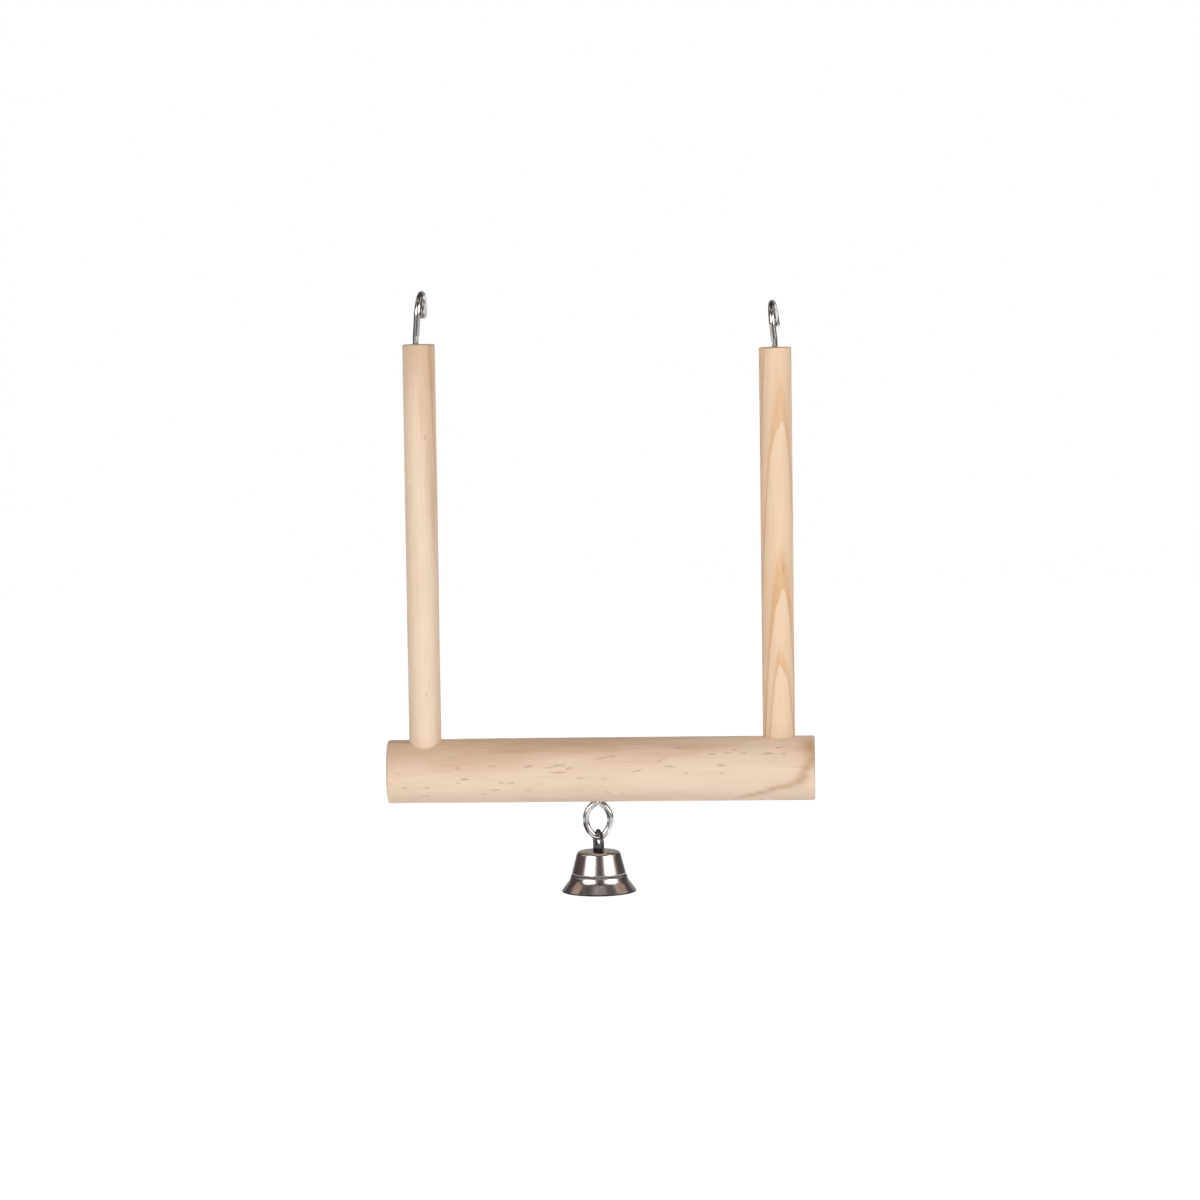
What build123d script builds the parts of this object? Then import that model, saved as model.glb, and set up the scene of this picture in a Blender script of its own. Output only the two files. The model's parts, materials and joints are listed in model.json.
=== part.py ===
from build123d import *
import os
from dataclasses import dataclass
from math import acos, atan2, cos, degrees, hypot, radians, sin, sqrt

# Bird swing: a thick dowel perch carried by two thinner dowels, with a screw hook in the top of
# each and a small clapper bell hung from a screw eye under the perch.
# Millimetres, +Z up, X along the perch and -Y to the front. The origin lies midway between the
# centres of the two hook bends, on the axis that the whole swing hangs and swings from.

# Perch, the thick dowel that the bird stands on
perch_length = 132.0
perch_diameter = 20.0
perch_edge = 0.7

# Uprights, two thinner dowels glued into blind sockets in the top of the perch
upright_length = 132.0
upright_diameter = 10.0
upright_edge = 0.4
glue_gap = 0.05
left_end_margin = 11.7
right_end_margin = 11.0
left_socket_depth = 10.0
right_socket_depth = 12.3
left_set_forward = 1.1
right_set_back = 1.7

# Screw hooks, bent from wire, with the bend opening away from the front
wire_diameter = 2.0
hook_bend_radius = 6.4
hook_shank = 5.9
hook_tip = 1.3
hook_tip_round = 0.6
hook_thread = 14.0
left_hook_rise = 8.9
right_hook_rise = 7.0
left_hook_offset = -0.9
left_hook_turn = 4.0
right_hook_turn = 5.4
left_hook_lean = 4.2
right_hook_lean = -6.0

# Wood screw thread, the same on the hooks and the eye
thread_root_diameter = 1.6
thread_crest_diameter = 2.3
thread_pitch = 1.1
thread_point = 2.4
thread_tip_diameter = 0.3
thread_ridge_share = 0.3
thread_sink_share = 0.3
thread_inset_share = 0.4
pilot_spare = 0.8

# Screw eye, a pear shaped loop of the same wire under the middle of the perch
eye_offset = -1.2
eye_half_width = 3.8
eye_half_height = 5.4
eye_drop = 5.6
eye_bottom_radius = 2.2
eye_neck_radius = 1.6
eye_end_gap = 0.15
eye_thread = 11.0

# Bell hanger, a flat lug that rides on the eye and is staked through the crown of the bell
hanger_thickness = 0.7
hanger_hole = 3.9
hanger_hole_round = 0.3
hanger_seat_gap = 0.22
hanger_head_radius = 2.3
hanger_head_rim = 1.2
hanger_base_width = 7.8
hanger_base_height = 1.9
hanger_base_round = 0.8
hanger_drop = 4.35
hanger_turn = 24.0
tongue_width = 2.6
tongue_ear_width = 3.8
tongue_ear_height = 0.5
tongue_hole = 1.6
tongue_hole_round = 0.2
tongue_hole_drop = 1.6
tongue_rim = 0.5
slot_gap = 0.1

# Bell shell, stamped from sheet
bell_height = 12.4
bell_wall = 0.5
bell_shoulder_diameter = 13.2
bell_shoulder_round = 1.3
bell_waist_diameter = 17.1
bell_waist_drop = 7.35
bell_band_diameter = 18.3
bell_band_drop = 9.1
bell_mouth_diameter = 23.3
bell_corner_round = 4.0
bell_groove_radius = 0.22
bell_lip_round = 0.2

# Clapper, a ball on a wire eye, hung from the tongue by one loose ring
link_radius = 1.45
link_wire = 0.6
link_play = 0.28
clapper_eye_radius = 0.95
clapper_wire = 0.6
clapper_play = 0.27
clapper_ball = 5.2
clapper_neck_diameter = 1.1
clapper_reach = 4.7

# One overrun for every cut that has to break through a surface
overrun = 1.0

perch_radius = perch_diameter / 2
upright_radius = upright_diameter / 2
wire_radius = wire_diameter / 2
thread_root = thread_root_diameter / 2
thread_crest = thread_crest_diameter / 2


@dataclass
class Half:
    """What differs between the left and the right half of the swing."""

    name: str
    facing: int
    margin: float
    depth: float
    set_back: float
    hook_offset: float
    rise: float
    turn: float
    lean: float

    def socket_floor(self):
        """Middle of the socket's floor, seen from the middle of the perch."""
        return Vector(
            self.facing * (perch_length / 2 - self.margin), self.set_back, perch_radius - self.depth
        )

    def hook_foot(self):
        """Where the hook's axis leaves the top of the upright, and how the hook is turned there."""
        top = self.socket_floor() + Vector(self.hook_offset, 0, upright_length)
        return Location(top, (0, self.lean, -self.turn))

    def bend_center(self):
        """Centre of the hook's bend, seen from the middle of the perch."""
        return (self.hook_foot() * Location((0, hook_bend_radius, self.rise))).position


left = Half(
    "left",
    -1,
    left_end_margin,
    left_socket_depth,
    -left_set_forward,
    left_hook_offset,
    left_hook_rise,
    left_hook_turn,
    left_hook_lean,
)
right = Half(
    "right",
    1,
    right_end_margin,
    right_socket_depth,
    right_set_back,
    0,
    right_hook_rise,
    right_hook_turn,
    right_hook_lean,
)
sides = (left, right)

# Where things stand, with the origin midway between the two hook bends
perch_center = (left.bend_center() + right.bend_center()) * -0.5
eye_center = perch_center + Vector(eye_offset, 0, -perch_radius - eye_drop)
eye_seat = eye_center - Vector(0, 0, eye_half_height)
crown = eye_seat - Vector(0, 0, hanger_drop)

# The pear loop is four tangent arcs: bottom, two sides and the neck that turns up into the shank
eye_side_radius = (
    eye_half_width**2 - eye_bottom_radius**2 + (eye_half_height - eye_bottom_radius) ** 2
) / (2 * (eye_half_width - eye_bottom_radius))
eye_side_center = eye_side_radius - eye_half_width
eye_neck_height = sqrt(
    (eye_side_radius + eye_neck_radius) ** 2 - (eye_side_center + eye_neck_radius) ** 2
)
eye_neck_angle = degrees(atan2(eye_neck_height, eye_side_center + eye_neck_radius))
eye_bottom_angle = degrees(atan2(eye_half_height - eye_bottom_radius, eye_side_center))

# The wire's cut end stops just short of the neck
eye_end_reach = eye_neck_radius + wire_radius + eye_end_gap
eye_end_span = hypot(eye_side_center - eye_neck_radius, eye_neck_height)
eye_end_angle = degrees(
    atan2(eye_neck_height, eye_side_center - eye_neck_radius)
    - acos(
        (eye_side_radius**2 + eye_end_span**2 - eye_end_reach**2)
        / (2 * eye_side_radius * eye_end_span)
    )
)


def in_swing(place):
    """Move a location from the middle of the perch into the frame of the whole swing."""
    return Location(perch_center) * place


def side_plane(plane):
    """The upright plane that holds a part's turning axis: local x is the plane's y, local y its z."""
    return Plane(origin=plane.origin, x_dir=plane.y_dir, z_dir=plane.x_dir)


def threaded_shank(plane, top, length):
    """Add a pointed screw below the height top: a core, its point and one helical ridge."""
    point_top = top - length + thread_point
    with BuildSketch(side_plane(plane)) as core:
        with BuildLine():
            Polyline(
                (0, top),
                (thread_root, top),
                (thread_root, point_top),
                (thread_tip_diameter / 2, top - length),
                (0, top - length),
                close=True,
            )
        make_face()
    revolve(core.sketch, axis=Axis(plane.origin, plane.z_dir))
    sunk = thread_root * thread_sink_share
    inset = thread_pitch * thread_inset_share
    start = Vector(plane.from_local_coords((0, 0, point_top + inset)))
    with BuildLine() as ridge:
        Helix(
            thread_pitch,
            top - point_top - 2 * inset,
            thread_root - sunk,
            center=start,
            direction=plane.z_dir,
        )
    foot = ridge.line @ 0
    with BuildSketch(Plane(origin=foot, x_dir=foot - start, z_dir=ridge.line % 0)) as ridge_section:
        with BuildLine():
            Polyline(
                (0, -thread_pitch * thread_ridge_share),
                (sunk + thread_crest - thread_root, 0),
                (0, thread_pitch * thread_ridge_share),
                close=True,
            )
        make_face()
    sweep(ridge_section.sketch, path=ridge.line, is_frenet=True)


def pilot_hole(plane, depth):
    """Cut the drilled hole that a screw is driven into, from the plane's origin downwards."""
    with BuildSketch(plane.offset(overrun)) as mouth:
        Circle(thread_root)
    extrude(mouth.sketch, amount=-depth - overrun, mode=Mode.SUBTRACT)


os.makedirs("parts", exist_ok=True)

# Perch with its two sockets and the pilot hole of the eye
eye_screw_plane = Plane(
    origin=eye_center + Vector(0, 0, eye_drop), x_dir=(1, 0, 0), z_dir=(0, 0, -1)
)
eye_thread_top = eye_drop - eye_neck_height - wire_radius
with BuildPart() as perch:
    with BuildSketch(Plane(origin=perch_center, x_dir=(0, 1, 0), z_dir=(1, 0, 0))):
        Circle(perch_radius)
    extrude(amount=perch_length / 2, both=True)
    fillet(perch.edges().filter_by(GeomType.CIRCLE), perch_edge)
    for side in sides:
        with BuildSketch(Plane(origin=perch_center + side.socket_floor())):
            Circle(upright_radius + glue_gap)
        extrude(amount=side.depth + overrun, mode=Mode.SUBTRACT)
    pilot_hole(eye_screw_plane, eye_thread - eye_thread_top + pilot_spare)
perch.part.label = "perch"
export_step(perch.part, "parts/perch.step")

# Uprights, each with the pilot hole of its hook
for side in sides:
    foot = perch_center + side.socket_floor()
    hook_plane = Plane(in_swing(side.hook_foot()))
    with BuildPart() as upright:
        with BuildSketch(Plane(origin=foot)):
            Circle(upright_radius)
        extrude(amount=upright_length)
        fillet(upright.edges().filter_by(GeomType.CIRCLE), upright_edge)
        pilot_hole(hook_plane, hook_shank + hook_thread - side.rise + pilot_spare)
    upright.part.label = f"{side.name}_upright"
    export_step(upright.part, f"parts/{side.name}_upright.step")

# Screw hooks: shank, half-round bend and a short straight tip
for side in sides:
    hook_plane = Plane(in_swing(side.hook_foot()))
    thread_top = side.rise - hook_shank
    with BuildPart() as hook:
        with BuildLine(side_plane(hook_plane)) as wire:
            Line((0, thread_top), (0, side.rise))
            CenterArc((hook_bend_radius, side.rise), hook_bend_radius, 180, -180)
            Line((2 * hook_bend_radius, side.rise), (2 * hook_bend_radius, side.rise - hook_tip))
        with BuildSketch(hook_plane.offset(thread_top)):
            Circle(wire_radius)
        sweep(path=wire.line)
        tip_end = hook.faces().filter_by(GeomType.PLANE).sort_by(Axis.Y)[-1]
        fillet(tip_end.edges(), hook_tip_round)
        threaded_shank(hook_plane, thread_top, hook_thread)
    hook.part.label = f"{side.name}_hook"
    export_step(hook.part, f"parts/{side.name}_hook.step")

# Screw eye: shank, neck, left side, bottom and right side of the loop, up to the cut end
eye_plane = Plane(origin=eye_center, x_dir=(1, 0, 0), z_dir=(0, -1, 0))
with BuildPart() as screw_eye:
    with BuildLine(eye_plane) as wire:
        Line((0, eye_neck_height + wire_radius), (0, eye_neck_height))
        CenterArc((-eye_neck_radius, eye_neck_height), eye_neck_radius, 0, -eye_neck_angle)
        CenterArc(
            (eye_side_center, 0),
            eye_side_radius,
            180 - eye_neck_angle,
            eye_neck_angle + eye_bottom_angle,
        )
        CenterArc(
            (0, eye_bottom_radius - eye_half_height),
            eye_bottom_radius,
            180 + eye_bottom_angle,
            180 - 2 * eye_bottom_angle,
        )
        CenterArc(
            (-eye_side_center, 0),
            eye_side_radius,
            -eye_bottom_angle,
            eye_bottom_angle + eye_end_angle,
        )
    with BuildSketch(eye_screw_plane.offset(eye_thread_top)):
        Circle(wire_radius)
    sweep(path=wire.line)
    threaded_shank(eye_screw_plane, eye_thread_top, eye_thread)
screw_eye.part.label = "screw_eye"
export_step(screw_eye.part, "parts/screw_eye.step")

# Bell hanger: a rounded lug with the hole that rides on the eye, and a tongue that goes through the
# crown, spread into two ears under it, with a small hole for the clapper's ring
hanger_along = Vector(sin(radians(hanger_turn)), -cos(radians(hanger_turn)), 0)
hanger_across = Vector(cos(radians(hanger_turn)), sin(radians(hanger_turn)), 0)
hanger_plane = Plane(origin=eye_seat, x_dir=hanger_along, z_dir=-hanger_across)
hanger_hole_rise = wire_radius + hanger_seat_gap - hanger_hole / 2
hanger_head_rise = wire_radius + hanger_seat_gap + hanger_head_rim - hanger_head_radius
ear_top = -hanger_drop - bell_wall
tongue_hole_rise = ear_top - tongue_hole_drop
tongue_end = tongue_hole_rise - tongue_hole / 2 - tongue_rim
with BuildPart() as bell_hanger:
    with BuildSketch(hanger_plane):
        with Locations((0, hanger_head_rise)):
            Circle(hanger_head_radius)
        with Locations((0, -hanger_drop)):
            Rectangle(
                hanger_base_width,
                hanger_base_height - hanger_base_round,
                align=(Align.CENTER, Align.MIN),
            )
        with Locations((0, hanger_base_height - hanger_base_round - hanger_drop)):
            with GridLocations(hanger_base_width - 2 * hanger_base_round, 0, 2, 1):
                Circle(hanger_base_round)
        make_hull()
        with Locations((0, -hanger_drop)):
            Rectangle(tongue_width, -tongue_end - hanger_drop, align=(Align.CENTER, Align.MAX))
        with Locations((0, ear_top)):
            Rectangle(tongue_ear_width, tongue_ear_height, align=(Align.CENTER, Align.MAX))
    extrude(amount=hanger_thickness / 2, both=True)
    for rise, diameter, edge in (
        (hanger_hole_rise, hanger_hole, hanger_hole_round),
        (tongue_hole_rise, tongue_hole, tongue_hole_round),
    ):
        with BuildSketch(hanger_plane):
            with Locations((0, rise)):
                Circle(diameter / 2)
        extrude(amount=hanger_thickness, both=True, mode=Mode.SUBTRACT)
        fillet(bell_hanger.edges(Select.LAST).filter_by(GeomType.CIRCLE), edge)
bell_hanger.part.label = "bell_hanger"
export_step(bell_hanger.part, "parts/bell_hanger.step")

# Bell shell: flat crown, rounded shoulder, cone, waist groove, band and flared mouth
bell_plane = Plane(origin=crown, x_dir=(1, 0, 0), z_dir=(0, -1, 0))
bell_axis = Axis(crown, (0, 0, 1))
waist = (bell_waist_diameter / 2, -bell_waist_drop)
band = (bell_band_diameter / 2, -bell_band_drop)
mouth = (bell_mouth_diameter / 2, -bell_height)
with BuildPart() as bell_shell:
    with BuildSketch(bell_plane):
        with BuildLine() as outside:
            FilletPolyline((0, 0), (bell_shoulder_diameter / 2, 0), waist, radius=bell_shoulder_round)
            FilletPolyline(waist, band, mouth, radius=bell_corner_round)
            offset(amount=bell_wall, side=Side.RIGHT)
        make_face()
    revolve(axis=bell_axis)
    fillet(bell_shell.edges().group_by(Axis.Z)[0], bell_lip_round)
    with BuildSketch(bell_plane):
        with Locations(waist):
            Circle(bell_groove_radius)
    revolve(axis=bell_axis, mode=Mode.SUBTRACT)
    with BuildSketch(Plane(origin=crown, x_dir=hanger_along, z_dir=(0, 0, 1))):
        Rectangle(tongue_width + 2 * slot_gap, hanger_thickness + 2 * slot_gap)
    extrude(amount=bell_wall + overrun, both=True, mode=Mode.SUBTRACT)
bell_shell.part.label = "bell_shell"
export_step(bell_shell.part, "parts/bell_shell.step")

# Clapper ring: hangs in the tongue's hole, in the plane across the hanger
link_wire_radius = link_wire / 2
link_center_rise = tongue_hole_rise - tongue_hole / 2 + link_play + link_wire_radius - link_radius
link_center = eye_seat + Vector(0, 0, link_center_rise)
with BuildPart() as clapper_link:
    with Locations(Plane(origin=link_center, x_dir=hanger_across, z_dir=hanger_along)):
        Torus(link_radius, link_wire_radius)
clapper_link.part.label = "clapper_link"
export_step(clapper_link.part, "parts/clapper_link.step")

# Clapper: a wire eye that hangs on the ring, a neck and the striking ball
clapper_wire_radius = clapper_wire / 2
clapper_pivot = link_center - Vector(0, 0, link_radius)
clapper_eye_top = link_wire_radius + clapper_play + clapper_wire_radius
clapper_eye_center = clapper_pivot + Vector(0, 0, clapper_eye_top - clapper_eye_radius)
ball_center = clapper_pivot - Vector(0, 0, clapper_reach)
with BuildPart() as clapper:
    with Locations(Plane(origin=clapper_eye_center, x_dir=hanger_along, z_dir=hanger_across)):
        Torus(clapper_eye_radius, clapper_wire_radius)
    with BuildSketch(Plane(origin=ball_center)):
        Circle(clapper_neck_diameter / 2)
    extrude(amount=clapper_reach + clapper_eye_top - 2 * clapper_eye_radius)
    with Locations(ball_center):
        Sphere(clapper_ball / 2)
clapper.part.label = "clapper"
export_step(clapper.part, "parts/clapper.step")
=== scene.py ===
"""Bird swing: a thick pine perch on two thin pine dowels, plated wire hooks and eye, a nickel bell."""

import json
from dataclasses import dataclass
from math import acos, atan2, cos, hypot, pi, radians, sin, sqrt, tan

import bpy
import numpy as np
from mathutils import Matrix, Vector


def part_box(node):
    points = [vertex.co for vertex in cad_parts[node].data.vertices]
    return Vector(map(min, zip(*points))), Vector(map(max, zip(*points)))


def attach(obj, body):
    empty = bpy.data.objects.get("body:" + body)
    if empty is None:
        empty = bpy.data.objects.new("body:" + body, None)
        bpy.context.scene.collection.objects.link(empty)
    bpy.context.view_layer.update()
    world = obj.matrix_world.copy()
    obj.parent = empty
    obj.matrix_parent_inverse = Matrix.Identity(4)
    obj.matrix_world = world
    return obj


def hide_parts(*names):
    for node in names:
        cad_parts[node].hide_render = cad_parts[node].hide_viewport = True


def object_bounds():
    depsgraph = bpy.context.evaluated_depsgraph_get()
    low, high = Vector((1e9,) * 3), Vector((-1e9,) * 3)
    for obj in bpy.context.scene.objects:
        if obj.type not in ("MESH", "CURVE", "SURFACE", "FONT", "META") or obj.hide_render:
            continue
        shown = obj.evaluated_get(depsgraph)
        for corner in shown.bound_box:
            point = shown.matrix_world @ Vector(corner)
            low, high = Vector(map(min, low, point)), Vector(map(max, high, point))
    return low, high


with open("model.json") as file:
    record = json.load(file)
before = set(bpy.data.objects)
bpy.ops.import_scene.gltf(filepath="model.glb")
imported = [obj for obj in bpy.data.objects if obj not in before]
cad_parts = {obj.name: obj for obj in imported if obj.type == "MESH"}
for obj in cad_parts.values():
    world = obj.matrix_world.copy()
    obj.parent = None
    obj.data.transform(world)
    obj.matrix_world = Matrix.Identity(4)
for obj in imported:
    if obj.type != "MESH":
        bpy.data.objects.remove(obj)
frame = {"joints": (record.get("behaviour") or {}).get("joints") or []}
cad_low, cad_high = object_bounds()

mm = 0.001
joints = {joint["name"]: joint for joint in frame["joints"]}
x_dir, y_dir, z_dir = np.eye(3)
front_dir = -y_dir

# Dowels: eased edges, unevenness, dents, wear, resin streaks, year rings, and the room in a socket
perch_edge = 0.7 * mm
upright_edge = 0.4 * mm
edge_unevenness_share = 0.35
out_of_round = 0.05 * mm
uneven_lengths = (40 * mm, 17 * mm)
dent_depth = 0.10 * mm
dent_sizes_mm = (0.6, 1.8)
dents_per_dowel = 26
perch_worn = 0.35 * mm
worn_length = 22 * mm
streak_depth = 0.02 * mm
streak_width = 0.2 * mm
streak_lengths_mm = (0.6, 3.2)
ring_wave = 0.12 * mm
ring_wave_length = 9 * mm
ring_start_share = 0.08
socket_gap = 0.08 * mm

# Wire of the hooks and the eye, and the wood screw thread on its end
wire_radius = 1.0 * mm
hook_bend = 6.4 * mm
hook_shank = 5.9 * mm
hook_tip = 1.3 * mm
hook_tip_round = 0.6 * mm
hook_thread = 14.0 * mm
hook_waist = 0.14 * mm
waist_length = 2.6 * mm
eye_thread = 11.0 * mm
thread_root = 0.8 * mm
thread_crest = 1.15 * mm
thread_pitch = 1.1 * mm
thread_point = 2.4 * mm
thread_ridge_share = 0.3
thread_tip_share = 0.19
wire_step = 0.12 * mm
thread_step = 0.07 * mm
small_wire_step = 0.06 * mm

# Screw eye: a pear loop of tangent arcs, whose legs meet where they enter the wood
eye_half_width = 3.8 * mm
eye_upper_side = 5.9 * mm
eye_shank_foot = 7.7 * mm
eye_half_height = 5.4 * mm
eye_bottom = 2.2 * mm
eye_neck = 1.6 * mm
eye_end_gap = 0.15 * mm
eye_tip_round = 0.12 * mm

# Bell hanger: flat lug over the crown, tongue and spread ears under it
hanger_thickness = 0.7 * mm
hanger_hole = 1.95 * mm
hanger_hole_round = 0.3 * mm
hanger_hole_flat_share = 0.22
hanger_edge_round = 0.16 * mm
hanger_seat_gap = 0.22 * mm
hanger_head = 2.3 * mm
hanger_head_rim = 1.2 * mm
hanger_base_half = 3.9 * mm
hanger_base_height = 1.9 * mm
hanger_base_round = 0.8 * mm
hanger_drop = 4.35 * mm
tongue_half = 1.3 * mm
tongue_hole = 0.8 * mm
tongue_hole_drop = 1.6 * mm
tongue_hole_round = 0.2 * mm
tongue_edge_round = 0.08 * mm
tongue_rim = 0.5 * mm
ear_reach = 1.9 * mm
ear_height = 0.5 * mm
ear_length_share = 0.75
ear_thickness_share = 0.98
ear_blunt_power = 0.35

# Bell shell
bell_wall = 0.5 * mm
crown_middle = 0.1 * mm
bell_shoulder = 6.6 * mm
bell_shoulder_round = 1.5 * mm
bell_waist = (8.55 * mm, -7.35 * mm)
bell_band = (9.15 * mm, -9.1 * mm)
bell_mouth = (11.65 * mm, -12.4 * mm)
bell_corner_round = 4.0 * mm
bell_dot_depth = 0.24 * mm
bell_dot_half = 0.42 * mm
bell_dots = 72
bell_dot_mean_share = 0.62
# Share of the painted shade that lies evenly over the whole waist band; the rest follows the dots
painted_shade_share = 0.6
slot_gap = 0.1 * mm

# Clapper and its ring
link_radius = 1.45 * mm
link_wire = 0.3 * mm
link_seam = 0.12 * mm
clapper_eye = 0.95 * mm
clapper_wire = 0.3 * mm
clapper_ball = 2.6 * mm
clapper_neck = 0.55 * mm
clapper_play = 0.27 * mm
clapper_reach = 4.7 * mm

# How fine the meshes are: points round a section, steps along it, the open middle of an end or a pole
# that a fan of faces closes, and the corner in degrees that stays sharp
wire_columns = 40
small_wire_columns = 24
plate_columns = 200
socket_columns = 96
ball_columns = 64
hanger_step = 0.1 * mm
bell_step = 0.21 * mm
ball_step = 0.12 * mm
neck_step = 0.1 * mm
end_middle_share = 0.06
ball_pole = 0.03
sharp_corner = 35

# The picture that the camera matches: 1200 pixels wide, with the perch seen at these pixels
perch_left_px = 385.8
perch_right_px = 814.9
perch_middle_px = 769.3
perch_half_px = 32.2
perch_view_angle = 7.3
camera_distance = 1.4
camera_azimuth = 2.4
camera_elevation = 5.2
camera_roll = 0.8
camera_sensor = 36.0
picture_span = 369.8 * mm
aim_above_perch = 52.6 * mm
aim_beside_perch = 0.3 * mm


# Meshes


def joined_faces(rows, columns, wrap):
    """Quads of a grid whose rows are closed rings; with wrap the last row joins the first one too."""
    index = np.arange(rows * columns).reshape(rows, columns)
    ahead = np.roll(index, -1, axis=1)
    if wrap:
        corners = [index, ahead, np.roll(ahead, -1, axis=0), np.roll(index, -1, axis=0)]
    else:
        corners = [index[:-1], ahead[:-1], ahead[1:], index[1:]]
    return np.stack(corners, axis=-1).reshape(-1, 4)


def closed_skin(rings, wrap=False):
    """Points and faces of one closed surface: rings[row, column] joined by quads, and unless the rows
    wrap round, a fan to a pole in the middle of the first ring and of the last one. The faces are turned
    round if the volume they enclose comes out negative."""
    rows, columns = rings.shape[:2]
    points = rings.reshape(-1, 3)
    quads = joined_faces(rows, columns, wrap)
    fans = np.empty((0, 3), int)
    if not wrap:
        column = np.arange(columns)
        ahead = np.roll(column, -1)
        first, last = rows * columns, rows * columns + 1
        end = (rows - 1) * columns
        fans = np.concatenate(
            [
                np.stack([np.full(columns, first), ahead, column], axis=-1),
                np.stack([np.full(columns, last), end + column, end + ahead], axis=-1),
            ]
        )
        points = np.concatenate([points, [rings[0].mean(0)], [rings[-1].mean(0)]])
    triangles = np.concatenate([quads[:, [0, 1, 2]], quads[:, [0, 2, 3]], fans])
    a, b, c = (points[triangles[:, k]] - points.mean(0) for k in range(3))
    if np.einsum("ij,ij->", a, np.cross(b, c)) < 0:
        quads, fans = quads[:, ::-1], fans[:, ::-1]
    return points, quads.tolist() + fans.tolist()


def new_object(name, points, faces):
    """A mesh object at the origin, linked into the scene."""
    mesh = bpy.data.meshes.new(name)
    mesh.from_pydata(points, [], faces)
    made = bpy.data.objects.new(name, mesh)
    bpy.context.scene.collection.objects.link(made)
    return made


def make_piece(name, *skins):
    """One object at the origin from one or more closed surfaces, smooth but sharp at real corners."""
    points, faces = [], []
    for skin_points, skin_faces in skins:
        shift = sum(len(p) for p in points)
        points.append(skin_points)
        faces += [[shift + v for v in face] for face in skin_faces]
    piece = new_object(name, np.concatenate(points), faces)
    finish_mesh(piece.data)
    return piece


def finish_mesh(mesh):
    """Smooth shading that stops at sharp corners."""
    mesh.polygons.foreach_set("use_smooth", np.ones(len(mesh.polygons), bool))
    mesh.set_sharp_from_angle(angle=radians(sharp_corner))
    mesh.update()


def cut_out(piece, *cutters):
    """Take closed surfaces out of a piece, and leave a plain mesh with no modifier on it."""
    for number, cutter_skin in enumerate(cutters):
        cutter = make_piece(f"cutter_{number}", cutter_skin)
        cut = piece.modifiers.new("cut", "BOOLEAN")
        cut.operation = "DIFFERENCE"
        cut.solver = "EXACT"
        cut.object = cutter
        graph = bpy.context.evaluated_depsgraph_get()
        mesh = bpy.data.meshes.new_from_object(piece.evaluated_get(graph))
        piece.modifiers.clear()
        old, piece.data = piece.data, mesh
        mesh.name = piece.name
        bpy.data.meshes.remove(old)
        bpy.data.objects.remove(cutter)
    finish_mesh(piece.data)
    return piece


def points_of(piece):
    """The piece's vertices as rows of x, y, z."""
    flat = np.empty(len(piece.data.vertices) * 3)
    piece.data.vertices.foreach_get("co", flat)
    return flat.reshape(-1, 3)


def set_attribute(piece, name, values):
    """Store one number per vertex for the material to read."""
    attribute = piece.data.attributes.new(name, "FLOAT", "POINT")
    attribute.data.foreach_set("value", np.asarray(values, np.float32))


def place(piece, body, node, material):
    """Give a piece its material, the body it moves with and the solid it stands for."""
    piece.data.materials.clear()
    piece.data.materials.append(material)
    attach(piece, body)
    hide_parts(node)


# Flat paths and what is carried along them


def line(start, end, step):
    """Evenly spaced points from start to end."""
    start, end = np.array(start), np.array(end)
    count = max(2, int(np.linalg.norm(end - start) / step) + 1)
    return start + np.linspace(0, 1, count)[:, None] * (end - start)


def arc(center, radius, start, sweep, step):
    """Points round a centre from one angle through a sweep, both in radians."""
    count = max(3, int(abs(sweep) * radius / step) + 1)
    angle = start + np.linspace(0, 1, count) * sweep
    return np.array(center) + radius * np.stack([np.cos(angle), np.sin(angle)], axis=-1)


def path(*runs):
    """Runs joined end to end, with each shared end kept once."""
    return np.concatenate([runs[0], *(run[1:] for run in runs[1:])])


def lengths_along(points):
    """Distance from the path's start to each of its points."""
    return np.concatenate([[0], np.cumsum(np.linalg.norm(np.diff(points, axis=0), axis=1))])


def normals_of(points):
    """Unit normals of a flat path, a quarter turn to the left of the way it runs."""
    along = np.gradient(points, axis=0)
    along /= np.linalg.norm(along, axis=1)[:, None]
    return np.stack([-along[:, 1], along[:, 0]], axis=-1)


def carried_round(points, radius, origin, across, up, columns):
    """A round section carried along a flat path: point + radius * (cos * normal + sin * out of plane).
    radius is a number, or a function of the distance along and the angle round."""
    angle = np.arange(columns) * 2 * pi / columns
    normal = normals_of(points)
    spread = radius(lengths_along(points)[:, None], angle) if callable(radius) else radius
    spread = np.broadcast_to(spread, (len(points), columns))
    flat = points[:, None] + (spread * np.cos(angle))[..., None] * normal[:, None]
    out = spread * -np.sin(angle)
    return origin + flat[..., :1] * across + flat[..., 1:] * up + out[..., None] * np.cross(across, up)


def turned(profile, origin, columns, axis=z_dir, side=x_dir):
    """A flat profile of (radius, height) points turned about an axis."""
    angle = np.arange(columns) * 2 * pi / columns
    around = np.cos(angle)[:, None] * side + np.sin(angle)[:, None] * np.cross(axis, side)
    return origin + profile[:, None, :1] * around + profile[:, None, 1:] * axis


# Dowels


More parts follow.
